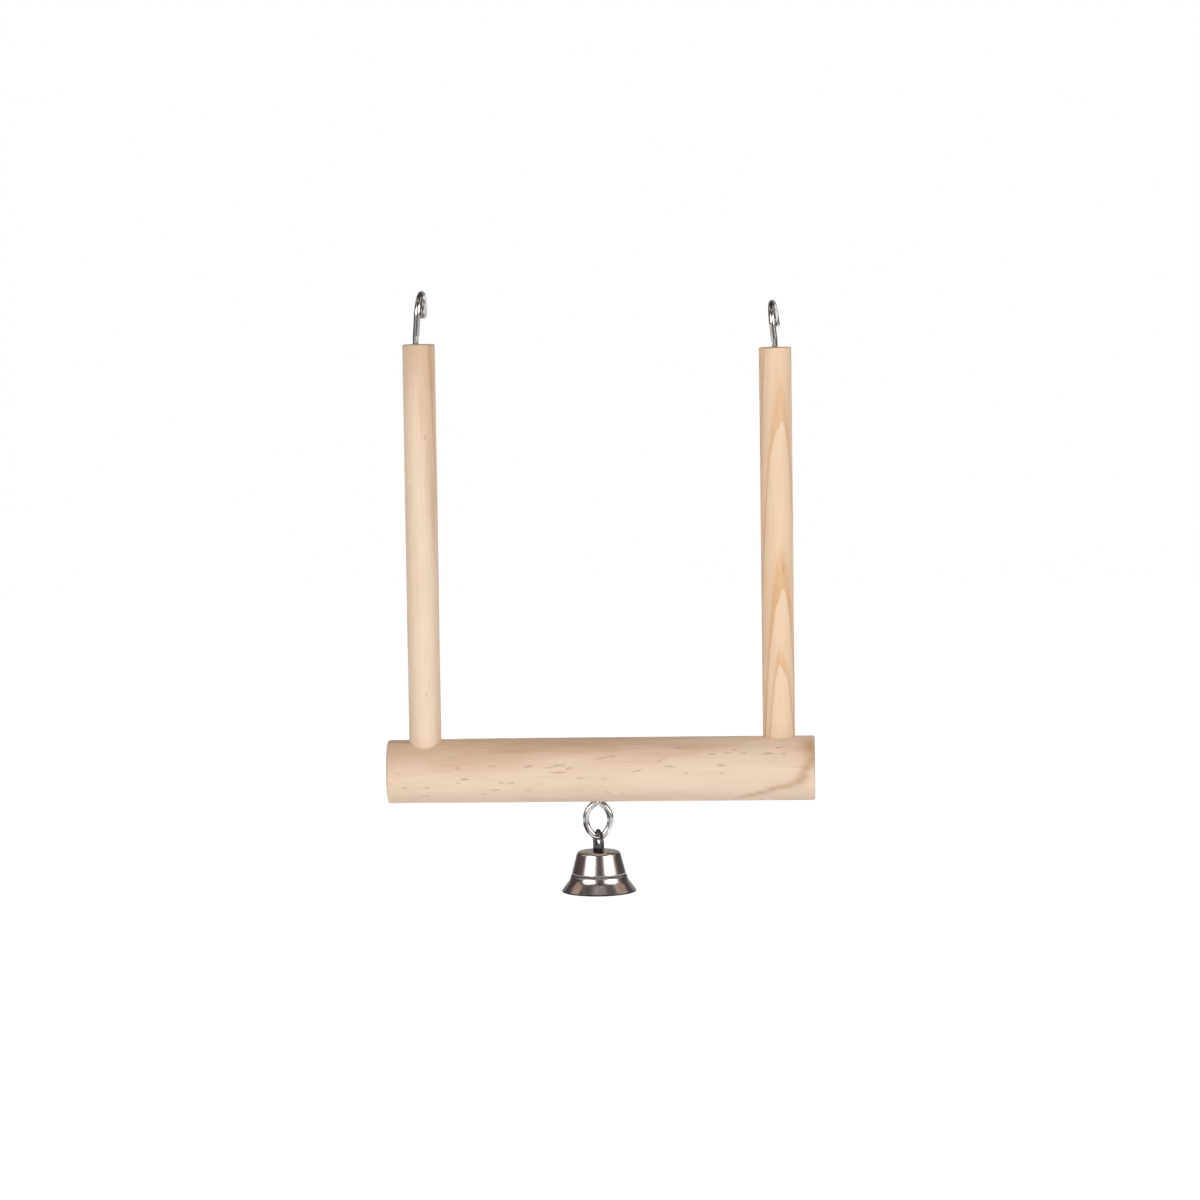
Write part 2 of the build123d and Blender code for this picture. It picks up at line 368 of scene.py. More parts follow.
@dataclass
class Dowel:
    """A round stick: angles round it count from the front towards the side."""

    node: str
    axis: np.ndarray
    side: np.ndarray
    edge: float
    columns: int
    rows: int
    seed: int
    worn: float = 0

    def __post_init__(self):
        low, high = (np.array(corner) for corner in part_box(self.node))
        self.length = (high - low) @ self.axis
        self.radius = (high - low) @ self.side / 2
        self.start = (low + high - self.length * self.axis) / 2

    def unrolled(self, points):
        """Distance from the start, angle from the front, and distance from the axis."""
        away = points - self.start
        height = away @ self.axis
        forward, sideways = away @ front_dir, away @ self.side
        return height, np.arctan2(sideways, forward), np.hypot(forward, sideways)

    def rings(self, sunk):
        """Rows carried round the axis: flat end, rounded edge, long side, rounded edge, flat end. The
        edge's radius varies round the end, and sunk(height, angle) pushes the side in."""
        angle = np.arange(self.columns) * 2 * pi / self.columns
        phase = self.seed
        uneven = 0.6 * np.sin(2 * angle + phase) + 0.4 * np.sin(5 * angle + 2 * phase)
        edge = self.edge * (1 + edge_unevenness_share * uneven)
        face = np.linspace(end_middle_share, 1, 16)[:, None]
        bend = np.linspace(0, pi / 2, 9)[1:, None]
        run = np.linspace(0, 1, self.rows)[1:, None]
        face_radius = face * (self.radius - edge)
        bend_radius = self.radius - edge + edge * np.sin(bend)
        bend_height = edge * (1 - np.cos(bend))
        side_height = edge + run * (self.length - 2 * edge)
        radius = np.concatenate(
            [
                face_radius,
                bend_radius,
                np.broadcast_to(self.radius, (len(run), self.columns)),
                bend_radius[-2::-1],
                (self.radius - edge)[None],
                face_radius[-2::-1],
            ]
        )
        height = np.concatenate(
            [
                np.zeros_like(face_radius),
                bend_height,
                side_height,
                self.length - bend_height[-2::-1],
                np.full_like(edge, self.length)[None],
                np.full_like(face_radius[1:], self.length),
            ]
        )
        radius = radius - sunk(height, angle) * radius / self.radius
        around = np.cos(angle)[:, None] * front_dir + np.sin(angle)[:, None] * self.side
        return self.start + height[..., None] * self.axis + radius[..., None] * around


@dataclass
class Tree:
    """How a dowel lay in its tree. The pith line is far behind it, at this angle, and leans along it;
    ring_edges are where one year ends and the next begins, counted from the front."""

    pith_angle: float
    pith_depth: float
    lean: float
    ring_edges: tuple

    def ring_at(self, dowel, points):
        """Year number at each point: its distance from the pith line, looked up in the ring edges."""
        height, angle, radius = dowel.unrolled(points)
        depth = self.pith_depth + self.lean * (dowel.length - height)
        turn = angle - radians(self.pith_angle)
        distance = np.sqrt(depth**2 + radius**2 + 2 * depth * radius * np.cos(turn))
        wave = ring_wave * np.sin(height / ring_wave_length + 2 * np.sin(3 * turn))
        edges = np.array(self.ring_edges) * mm
        beyond = distance + wave - self.pith_depth - dowel.radius
        return np.interp(beyond, edges, np.arange(len(edges))) - ring_start_share


def streaks_at(dowel, marks, height, angle):
    """How deep each place lies in a resin streak, 0 to 1: the strongest of all marks, each a short line
    with soft sides that fades towards its ends. A mark is (height, angle, length, slant, strength)."""
    deepest = np.zeros(np.broadcast_shapes(np.shape(height), np.shape(angle)))
    for mark_height, mark_angle, length, slant, strength in marks:
        along = height - mark_height
        turn = (angle - mark_angle + pi) % (2 * pi) - pi
        across = turn * dowel.radius
        down_line = along * cos(slant) + across * sin(slant)
        off_line = across * cos(slant) - along * sin(slant)
        fade = np.exp(-((off_line / streak_width) ** 2) - (down_line / (0.45 * length + streak_width)) ** 4)
        deepest = np.maximum(deepest, strength * fade)
    return deepest


def patches_at(dowel, patches, height, angle):
    """How dark each place is tinted, 0 to 1: soft ovals added up, each (height, angle, half length, half
    width, strength)."""
    tint = np.zeros(np.broadcast_shapes(np.shape(height), np.shape(angle)))
    for patch_height, patch_angle, half_length, half_width, strength in patches:
        turn = (angle - patch_angle + pi) % (2 * pi) - pi
        far = ((height - patch_height) / half_length) ** 2 + (turn * dowel.radius / half_width) ** 2
        tint = tint + strength * np.exp(-far)
    return np.clip(tint, 0, 1)


def chance_marks(dowel, count, angles, seed):
    """Streaks strewn by chance over a range of angles, most of them short and faint."""
    rng = np.random.default_rng(seed)
    return list(
        zip(
            rng.uniform(0, dowel.length, count),
            rng.uniform(*np.radians(angles), count),
            rng.uniform(*streak_lengths_mm, count) * mm,
            rng.normal(0, 0.1, count),
            rng.uniform(0.2, 0.8, count),
        )
    )


def dowel_piece(dowel, marks, name):
    """A dowel as a mesh, sunk a little where it is out of round, worn at one end, dented or streaked."""
    rng = np.random.default_rng(dowel.seed)
    dent_heights = rng.uniform(0, dowel.length, dents_per_dowel)
    dent_angles = rng.uniform(-pi, pi, dents_per_dowel)
    dents = list(zip(dent_heights, dent_angles, rng.uniform(*dent_sizes_mm, dents_per_dowel) * mm))
    slow, quick = uneven_lengths

    def sunk(height, angle):
        wave = np.sin(2 * angle + dowel.seed + height / slow) + np.sin(3 * angle + height / quick)
        depth = out_of_round * (0.5 + 0.25 * wave)
        depth = depth + dowel.worn * np.exp(-((height / worn_length) ** 2)) * np.clip(np.sin(angle), 0, 1)
        for dent_height, dent_angle, size in dents:
            turn = (angle - dent_angle + pi) % (2 * pi) - pi
            spread = ((height - dent_height) ** 2 + (turn * dowel.radius) ** 2) / size**2
            depth = depth + dent_depth * size / (dent_sizes_mm[1] * mm) * np.exp(-spread)
        return depth + streak_depth * streaks_at(dowel, marks, height, angle)

    return make_piece(name, closed_skin(dowel.rings(sunk)))


def set_grain(piece, dowel, tree, marks, patches):
    """Store what the pine material reads: year number, resin streaks, patches and end grain."""
    points = points_of(piece)
    height, angle, radius = dowel.unrolled(points)
    set_attribute(piece, "ring", tree.ring_at(dowel, points))
    on_side = np.clip((radius - dowel.radius + 2 * dowel.edge) / dowel.edge, 0, 1)
    set_attribute(piece, "streak", on_side * streaks_at(dowel, marks, height, angle))
    set_attribute(piece, "patch", on_side * patches_at(dowel, patches, height, angle))
    to_end = np.minimum(height, dowel.length - height)
    set_attribute(piece, "end_grain", np.clip(1 - to_end / (0.5 * dowel.edge), 0, 1))


# Materials

# What a dowel's vertices tell its material, and how late wood sets in over the share of a year
grain_kinds = ("ring", "streak", "patch", "end_grain")
late_wood_levels = ((0.0, 0.5), (0.02, 0.0), (0.5, 0.04), (0.74, 0.25), (0.86, 0.9), (1.0, 1.0))

# Pine's noise, across the stick and along it. Real fibres are far finer: these are as coarse as shows
fibre_size = (0.42 * mm, 13 * mm)
cloud_size = (5 * mm, 24 * mm)
speck_size = (0.35 * mm, 1.2 * mm)
wood_relief = 0.06 * mm
metal_relief = 0.02 * mm

fibre_tint = "#d8bda2"
cloud_tint = "#f2e2d4"
patch_tint = "#d8c4ab"
# Near black painted shade for the bell's waist band, its dots and its rolled lip
painted_shade_color = "#0c0a0a"


def linear(code):
    """sRGB hex colour as linear red, green, blue and a full alpha."""
    value = np.array([int(code[k : k + 2], 16) for k in (1, 3, 5)]) / 255
    value = np.where(value <= 0.04045, value / 12.92, ((value + 0.055) / 1.055) ** 2.4)
    return (*value.tolist(), 1.0)


def add_node(tree, kind, inputs, output=0, **settings):
    """Add a node, set its properties, set or link its inputs, and give back one of its outputs."""
    made = tree.nodes.new(kind)
    for name, value in settings.items():
        setattr(made, name, value)
    for socket, value in inputs.items():
        if isinstance(value, bpy.types.NodeSocket):
            tree.links.new(value, made.inputs[socket])
        else:
            made.inputs[socket].default_value = value
    return made.outputs[output]


def new_material(name, **sockets):
    """A material with one principled shader, whose constant sockets are set directly."""
    material = bpy.data.materials.new(name)
    material.use_nodes = True
    shader = material.node_tree.nodes["Principled BSDF"]
    for socket, value in sockets.items():
        shader.inputs[socket.replace("_", " ")].default_value = value
    return material, material.node_tree, shader


def pine(name, grain_axis, early, late, resin, end):
    """Bare sanded pine. It gives the eye pale early wood, orange late wood that ends each year on a sharp
    line, fine fibres along the stick, short brown resin streaks, broad darker patches and darker ends."""
    material, tree, shader = new_material(name, Specular_IOR_Level=0.35)
    place_on = add_node(tree, "ShaderNodeTexCoord", {}, "Object")

    def along_grain(across, along, detail):
        """Noise with patches of this size across the stick and along it."""
        scale = [1 / across] * 3
        scale[grain_axis] = 1 / along
        mapped = add_node(tree, "ShaderNodeMapping", {"Vector": place_on, "Scale": scale})
        noise = {"Vector": mapped, "Scale": 1.0, "Detail": detail, "Roughness": 0.6}
        return add_node(tree, "ShaderNodeTexNoise", noise)

    fibre = along_grain(*fibre_size, 4.0)
    cloud = along_grain(*cloud_size, 2.0)
    speck = along_grain(*speck_size, 2.0)
    grain = {
        kind: add_node(tree, "ShaderNodeAttribute", {}, "Fac", attribute_name=kind) for kind in grain_kinds
    }

    # Late wood: from the share of the year that has passed, stronger in some years, broken up by fibres
    ring = add_node(tree, "ShaderNodeMath", {0: cloud, 1: 0.16, 2: grain["ring"]}, operation="MULTIPLY_ADD")
    year_share = add_node(tree, "ShaderNodeMath", {0: ring}, operation="FRACT")
    lateness = add_node(tree, "ShaderNodeValToRGB", {"Fac": year_share})
    elements = lateness.node.color_ramp.elements
    elements.remove(elements[0])
    for number, (position, level) in enumerate(late_wood_levels):
        stop = elements.new(position) if number else elements[0]
        stop.position = position
        stop.color = (level, level, level, 1.0)
    year = add_node(tree, "ShaderNodeMath", {0: ring}, operation="FLOOR")
    chance = add_node(tree, "ShaderNodeTexWhiteNoise", {"W": year}, noise_dimensions="1D")
    strength = add_node(tree, "ShaderNodeMath", {0: chance, 1: 0.35, 2: 0.65}, operation="MULTIPLY_ADD")
    broken = add_node(tree, "ShaderNodeMath", {0: fibre, 1: 0.7, 2: 0.62}, operation="MULTIPLY_ADD")
    for factor in (strength, broken):
        lateness = add_node(tree, "ShaderNodeMath", {0: lateness, 1: factor}, operation="MULTIPLY")

    # Resin: the streaks, broken into specks
    gaps = add_node(tree, "ShaderNodeMapRange", {"Value": speck, "From Min": 0.36, "From Max": 0.56})
    streak = add_node(tree, "ShaderNodeMath", {0: grain["streak"], 1: gaps}, operation="MULTIPLY")

    # Colour: early wood, then late wood, fibres, clouds, patches, resin and end grain laid over it
    fibre_share = add_node(tree, "ShaderNodeMath", {0: fibre, 1: 0.5, 2: -0.18}, operation="MULTIPLY_ADD")
    cloud_share = add_node(tree, "ShaderNodeMath", {0: cloud, 1: 0.6, 2: -0.15}, operation="MULTIPLY_ADD")
    end_share = add_node(tree, "ShaderNodeMath", {0: grain["end_grain"], 1: 0.6}, operation="MULTIPLY")
    layers = (
        (lateness, late, "MIX"),
        (fibre_share, fibre_tint, "MULTIPLY"),
        (cloud_share, cloud_tint, "MULTIPLY"),
        (grain["patch"], patch_tint, "MULTIPLY"),
        (streak, resin, "MIX"),
        (end_share, end, "MIX"),
    )
    color = linear(early)
    for share, tint, blend in layers:
        inputs = {0: share, 6: color, 7: linear(tint)}
        color = add_node(tree, "ShaderNodeMix", inputs, 2, data_type="RGBA", blend_type=blend)
    tree.links.new(color, shader.inputs["Base Color"])

    # Late wood is a little smoother and stands a little higher, resin streaks lie lower
    rough = add_node(tree, "ShaderNodeMath", {0: lateness, 1: -0.12, 2: 0.64}, operation="MULTIPLY_ADD")
    tree.links.new(rough, shader.inputs["Roughness"])
    raised = add_node(tree, "ShaderNodeMath", {0: lateness, 1: 0.5, 2: fibre}, operation="MULTIPLY_ADD")
    relief = add_node(tree, "ShaderNodeMath", {0: raised, 1: streak}, operation="SUBTRACT")
    bump = {"Height": relief, "Strength": 0.35, "Distance": wood_relief}
    tree.links.new(add_node(tree, "ShaderNodeBump", bump), shader.inputs["Normal"])
    return material


def plated_metal(name, color, dull_color, roughness, dull_roughness, grain, ripple):
    """Bright plate over metal. It gives the eye sharp bright and dark reflections, softened here and there
    by a dull bloom, bent by the ripple that the metal under it keeps from drawing or stamping, and painted
    near black, and made rougher, where the mesh marks painted shade, as on the bell's pressed dots and lip."""
    material, tree, shader = new_material(name, Metallic=1.0)
    place_on = add_node(tree, "ShaderNodeTexCoord", {}, "Object")
    cloud = {"Vector": place_on, "Scale": 1 / grain, "Detail": 5.0, "Roughness": 0.65}
    bloom = add_node(tree, "ShaderNodeTexNoise", cloud)
    dull = add_node(tree, "ShaderNodeMapRange", {"Value": bloom, "From Min": 0.42, "From Max": 0.72})
    # Painted shade: a per-vertex share that turns the colour near black and the surface rougher
    painted_shade = add_node(tree, "ShaderNodeAttribute", {}, "Fac", attribute_name="painted_shade")
    tint = linear(color)
    for share, over in ((dull, dull_color), (painted_shade, painted_shade_color)):
        tint = add_node(tree, "ShaderNodeMix", {0: share, 6: tint, 7: linear(over)}, 2, data_type="RGBA")
    tree.links.new(tint, shader.inputs["Base Color"])
    span = {"Value": dull, "To Min": roughness, "To Max": dull_roughness}
    polish = add_node(tree, "ShaderNodeMapRange", span)
    rough = add_node(tree, "ShaderNodeMath", {0: painted_shade, 1: 0.3, 2: polish}, operation="MULTIPLY_ADD")
    tree.links.new(rough, shader.inputs["Roughness"])
    waves = {"Vector": place_on, "Scale": 1 / ripple, "Detail": 1.0}
    height = add_node(tree, "ShaderNodeTexNoise", waves)
    bump = {"Height": height, "Strength": 0.3, "Distance": metal_relief}
    tree.links.new(add_node(tree, "ShaderNodeBump", bump), shader.inputs["Normal"])
    return material


# Pine: the axis that the grain follows, then early wood, late wood, resin and end grain
perch_pine = pine("pine_perch", 0, "#f0d9c3", "#cba786", "#80430f", "#d3b08e")
left_pine = pine("pine_left_upright", 2, "#f3dcc4", "#e6c4a4", "#9a7350", "#d8b594")
right_pine = pine("pine_right_upright", 2, "#f4d8ba", "#e6ba8d", "#9a6c45", "#dcb48c")

# Metal: bright and dull colour, bright and dull roughness, size of the bloom and of the ripple
zinc_wire = plated_metal("zinc_plated_wire", "#c2c1bf", "#a9a8a5", 0.09, 0.17, 1.6 * mm, 3.0 * mm)
dark_steel = plated_metal("dark_steel", "#4b4744", "#393634", 0.3, 0.42, 0.9 * mm, 0.6 * mm)
bell_nickel = plated_metal("nickel_plate", "#c2bbb8", "#a39b98", 0.19, 0.27, 2.4 * mm, 3.5 * mm)


# Perch and uprights

perch = Dowel("perch", x_dir, z_dir, perch_edge, columns=210, rows=380, seed=3, worn=perch_worn)
left_upright = Dowel("left_upright", z_dir, x_dir, upright_edge, columns=120, rows=340, seed=5)
right_upright = Dowel("right_upright", z_dir, x_dir, upright_edge, columns=120, rows=340, seed=8)
picture_scale = perch.length / (perch_right_px - perch_left_px)

# Pith angle in degrees, pith depth, lean, and ring edges in millimetres
perch_tree = Tree(62, 34 * mm, 0.034, (-60, -51, -42, -32, -15.4, 5, 30))
left_tree = Tree(-25, 40 * mm, 0.055, (-16, -13, -9.5, -6.5, -2.6, 16, 20))
right_tree = Tree(15, 36 * mm, 0.064, (-14, -11, -8.4, -6, -3.9, -1.6, 1.32, 4.77, 6.17, 9.3, 12))

# Resin streaks of the perch's front, where the picture shows them: x, y, length, slant, strength
perch_streaks_px = (
    (457, 767, 4, 0, 0.5), (493, 765, 10, 14, 0.5), (528, 766, 6, 15, 0.8), (549, 767, 11, 4, 0.6),
    (560, 765, 12, 0, 0.7), (559, 772, 14, 2, 0.7), (569, 768, 5, 20, 0.9), (601, 758, 16, 8, 0.7),
    (464, 778, 8, 0, 0.9), (457, 782, 5, 6, 0.7), (502, 782, 6, 0, 0.5), (511, 782, 5, 0, 0.7),
    (495, 789, 8, 8, 0.7), (528, 789, 8, 0, 0.4), (581, 778, 7, 0, 0.5), (604, 779, 4, 40, 0.5),
    (404, 786, 7, -20, 0.6), (426, 786, 6, -8, 0.5), (424, 794, 9, 0, 0.5), (483, 793, 5, 0, 0.5),
    (389, 782, 4, 0, 0.5), (398, 772, 3, 0, 0.4), (607, 792, 6, -20, 0.5), (610, 757, 12, 5, 0.8),
    (661, 761, 10, 20, 0.6), (670, 767, 10, -4, 0.7), (638, 771, 11, 12, 0.5), (686, 774, 4, 0, 0.5),
    (712, 755, 7, 0, 0.7), (727, 754, 9, 4, 0.6), (736, 751, 9, 0, 0.7), (743, 754, 5, 0, 0.6),
    (721, 766, 7, -8, 0.9), (722, 774, 3, 0, 0.5), (769, 755, 11, 6, 0.9), (779, 749, 7, 12, 0.8),
    (784, 755, 4, 30, 0.5), (763, 769, 3, 0, 0.5), (621, 793, 4, 0, 0.5), (680, 749, 10, -4, 0.6),
)
# Darker patches of the perch's front: x, y, half length, half width, strength
perch_patches_px = (
    (810, 748, 9, 11, 0.8), (813, 759, 5, 9, 0.5), (690, 747, 40, 5, 0.4), (512, 750, 30, 4, 0.4),
    (575, 744, 60, 5, 0.3), (809, 764, 6, 5, 0.6), (806, 770, 6, 3, 0.7), (803, 777, 6, 5, 0.8),
    (798, 783, 6, 4, 0.8), (789, 786.5, 5, 3.8, 0.7), (780, 788, 6, 3.2, 0.7), (771, 790.5, 6, 3.4, 0.7),
    (761, 793.5, 7, 3, 0.7), (751, 796, 7, 2.8, 0.6), (741, 798, 7, 2.4, 0.5),
)

# Flecks and patches of the uprights' fronts: pixels below the top, pixels right of the axis, then as above
left_flecks_px = (
    (92, 6, 4, 10, 0.7), (143, -11, 6, 0, 0.5), (249, -4, 28, 5, 0.4), (338, 6, 12, 4, 0.3),
    (350, 3, 4, 12, 0.6),
)
right_flecks_px = ((221, 6, 8, 0, 0.6), (140, -7, 16, 0, 0.3), (262, -6, 30, 0, 0.25))
left_patches_px = (
    (5, 0, 45, 24, 0.5), (40, 12, 60, 7, 0.3), (68, 3, 24, 3.5, 0.3), (120, 9, 50, 5, 0.35),
    (165, 13, 50, 4, 0.4),
)
right_patches_px = ((10, -14, 60, 4, 0.3),)


def on_perch(x, y, *sizes):
    """A place in the picture and sizes in pixels as height along the perch, angle round it and sizes."""
    up = np.arcsin(np.clip((perch_middle_px - y) / perch_half_px, -1, 1)) + radians(perch_view_angle)
    return (x - perch_left_px) * picture_scale, up, *(size * picture_scale for size in sizes)


def on_upright(dowel, below, beside, *sizes):
    """Pixels below the top and right of the axis as height along an upright, angle round it and sizes."""
    turn = np.arcsin(np.clip(beside * picture_scale / dowel.radius, -1, 1))
    return dowel.length - below * picture_scale, turn, *(size * picture_scale for size in sizes)


def fleck_marks(dowel, flecks):
    """The flecks of an upright's front, and a few by chance round the back."""
    seen = [
        (*on_upright(dowel, below, beside, length), radians(slant), strength)
        for below, beside, length, slant, strength in flecks
    ]
    return seen + chance_marks(dowel, 26, (80, 280), dowel.seed)


def upright_patches(dowel, patches):
    """The patches of an upright's front."""
    return [
        (*on_upright(dowel, below, beside, length, width), strength)
        for below, beside, length, width, strength in patches
    ]


def socket(dowel):
    """The hole that an upright stands in: its own outline with a little room, open at the top."""
    radius, height = dowel.radius + socket_gap, perch.radius * 2
    profile = np.array([[radius / 2, 0], [radius, 0], [radius, height], [radius / 2, height]])
    return closed_skin(turned(profile, dowel.start, socket_columns))


def finished_dowel(dowel, tree, marks, patches, slot, wood, *sockets):
    """Make a dowel, bore its sockets, store its grain and put it in its place."""
    stick = dowel_piece(dowel, marks, f"{dowel.node}_dowel")
    if sockets:
        cut_out(stick, *sockets)
    set_grain(stick, dowel, tree, marks, patches)
    place(stick, "swing_frame", dowel.node, wood)


perch_marks = [
    (*on_perch(x, y, length), radians(slant), strength)
    for x, y, length, slant, strength in perch_streaks_px
]
perch_marks += chance_marks(perch, 110, (75, 300), 21)
perch_patches = [
    (*on_perch(x, y, length, width), strength) for x, y, length, width, strength in perch_patches_px
]
sockets = socket(left_upright), socket(right_upright)
finished_dowel(perch, perch_tree, perch_marks, perch_patches, "pine_perch", perch_pine, *sockets)

uprights = (
    (left_upright, left_tree, left_flecks_px, left_patches_px, left_pine),
    (right_upright, right_tree, right_flecks_px, right_patches_px, right_pine),
)
for dowel, tree, flecks, patches, wood in uprights:
    marks = fleck_marks(dowel, flecks)
    finished_dowel(dowel, tree, marks, upright_patches(dowel, patches), "pine_upright", wood)


# Screw hooks and screw eye


def screw_radius(length, total, tip_round, waist):
    """Radius of a wire with a wood screw at its start: a point, a core with one helical ridge as far as
    length, then plain wire, narrower by waist at its foot and rounded off over tip_round at its end."""

    def radius(along, angle):
        core = thread_root * np.clip(along / thread_point, thread_tip_share, 1)
        phase = (along / thread_pitch - angle / (2 * pi)) % 1
        ridge = np.clip(1 - np.abs(phase - 0.5) / thread_ridge_share, 0, 1) * (thread_crest - thread_root)
        rise = np.clip(along / thread_point, 0, 1) * np.clip((length - along) / thread_pitch, 0, 1)
        past = np.clip((along - total + tip_round) / tip_round, 0, 1)
        plain = wire_radius - tip_round * (1 - np.sqrt(1 - past**2))
        plain = plain - waist * np.clip(1 - (along - length) / waist_length, 0, 1)
        into_wire = np.clip((along - length) / thread_step / 3, 0, 1)
        return (core + ridge * rise) * (1 - into_wire) + plain * into_wire

    return radius


def hook_piece(side, dowel, offset, rise, turn, lean):
    """A screw hook: shank, half-round bend and short straight tip, in a plane that is turned about the
    upright and leans with the shank."""
    turn, lean = radians(turn), radians(lean)
    up = np.array([sin(lean), 0, cos(lean)])
    back = np.array([sin(turn) * cos(lean), cos(turn), -sin(turn) * sin(lean)])
    foot = dowel.start + dowel.length * z_dir + offset * x_dir
    screw_end = rise - hook_shank - hook_thread
    wire = path(
        line((0, screw_end), (0, 0), thread_step),
        line((0, 0), (0, rise), thread_step),
        arc((hook_bend, rise), hook_bend, pi, -pi, wire_step),
        line((2 * hook_bend, rise), (2 * hook_bend, rise - hook_tip), thread_step),
    )
    radius = screw_radius(-screw_end, lengths_along(wire)[-1], hook_tip_round, hook_waist)
    rings = carried_round(wire, radius, foot, back, up, wire_columns)
    return make_piece(f"{side}_screw_hook", closed_skin(rings))


def eye_piece():
    """A screw eye: the shank turns through a neck into a pear loop of three arcs, and the cut end stops
    just short of the neck."""
    low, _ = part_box("screw_eye")
    seat = np.array(joints["bell_swing"]["pos_m"])
    center = np.array([seat[0], seat[1], low[2] + wire_radius + eye_half_height])
    rise = eye_half_height - eye_bottom
    lower_side = (eye_half_width**2 - eye_bottom**2 + rise**2) / (2 * (eye_half_width - eye_bottom))
    lower_x, upper_x = lower_side - eye_half_width, eye_upper_side - eye_half_width
    neck_y = sqrt((eye_upper_side + eye_neck) ** 2 - (upper_x + eye_neck) ** 2)
    neck_turn = atan2(neck_y, upper_x + eye_neck)
    bottom_turn = atan2(rise, lower_x)
    reach = eye_neck + wire_radius + eye_end_gap
    span = hypot(upper_x - eye_neck, neck_y)
    short_by = acos((eye_upper_side**2 + span**2 - reach**2) / (2 * eye_upper_side * span))
    end_turn = atan2(neck_y, upper_x - eye_neck) - short_by
    bottom = (0, eye_bottom - eye_half_height)
    wire = path(
        line((0, eye_shank_foot + eye_thread), (0, eye_shank_foot), thread_step),
        line((0, eye_shank_foot), (0, neck_y), thread_step),
        arc((-eye_neck, neck_y), eye_neck, 0, -neck_turn, wire_step),
        arc((upper_x, 0), eye_upper_side, pi - neck_turn, neck_turn, wire_step),
        arc((lower_x, 0), lower_side, pi, bottom_turn, wire_step),
        arc(bottom, eye_bottom, pi + bottom_turn, pi - 2 * bottom_turn, wire_step),
        arc((-lower_x, 0), lower_side, -bottom_turn, bottom_turn, wire_step),
        arc((-upper_x, 0), eye_upper_side, 0, end_turn, wire_step),
    )
    radius = screw_radius(eye_thread, lengths_along(wire)[-1], eye_tip_round, 0)
    rings = carried_round(wire, radius, center, x_dir, z_dir, wire_columns)
    return make_piece("bell_screw_eye", closed_skin(rings))


# Side, upright, how far right of the upright's axis, rise of the bend, turn and lean in degrees
hooks = (
    ("left", left_upright, -0.9 * mm, 8.9 * mm, 4, 4.2),
    ("right", right_upright, 0, 7.0 * mm, 5.4, -6),
)
for side, dowel, *bent in hooks:
    place(hook_piece(side, dowel, *bent), "swing_frame", f"{side}_hook", zinc_wire)
place(eye_piece(), "swing_frame", "screw_eye", zinc_wire)


# Bell, its hanger, ring and clapper

bell_seat = np.array(joints["bell_swing"]["pos_m"])
crown = bell_seat - hanger_drop * z_dir
hanger_along = np.array(joints["clapper_link_swing"]["axis"])
hanger_across = np.array(joints["clapper_swing"]["axis"])


def holed_plate(reach, hole, center_height, thickness, hole_round, edge_round):
    """A flat plate with a hole: at each angle about the hole's middle, a rounded rectangle from the hole's
    wall, at hole(angle), out to the outline, at reach(angle)."""
    angle = np.arange(plate_columns) * 2 * pi / plate_columns
    corner = np.linspace(0, pi / 2, 6)[:, None]
    outline = reach(angle)
    half = thickness / 2
    shape = (len(corner), len(angle))
    inner_radius = hole(angle) + hole_round * (1 - np.sin(corner))
    inner_depth = np.broadcast_to(half - hole_round * (1 - np.cos(corner)), shape)
    outer_radius = outline - edge_round * (1 - np.sin(corner))
    outer_depth = np.broadcast_to(half - edge_round * (1 - np.cos(corner)), shape)
    radius = np.concatenate([inner_radius[::-1], outer_radius, outer_radius[::-1], inner_radius])
    depth = np.concatenate([inner_depth[::-1], outer_depth, -outer_depth[::-1], -inner_depth])
    along = radius * np.cos(angle)
    up = center_height + radius * np.sin(angle)
    points = along[..., None] * hanger_along + up[..., None] * z_dir + depth[..., None] * hanger_across
    return closed_skin(bell_seat + points, wrap=True)


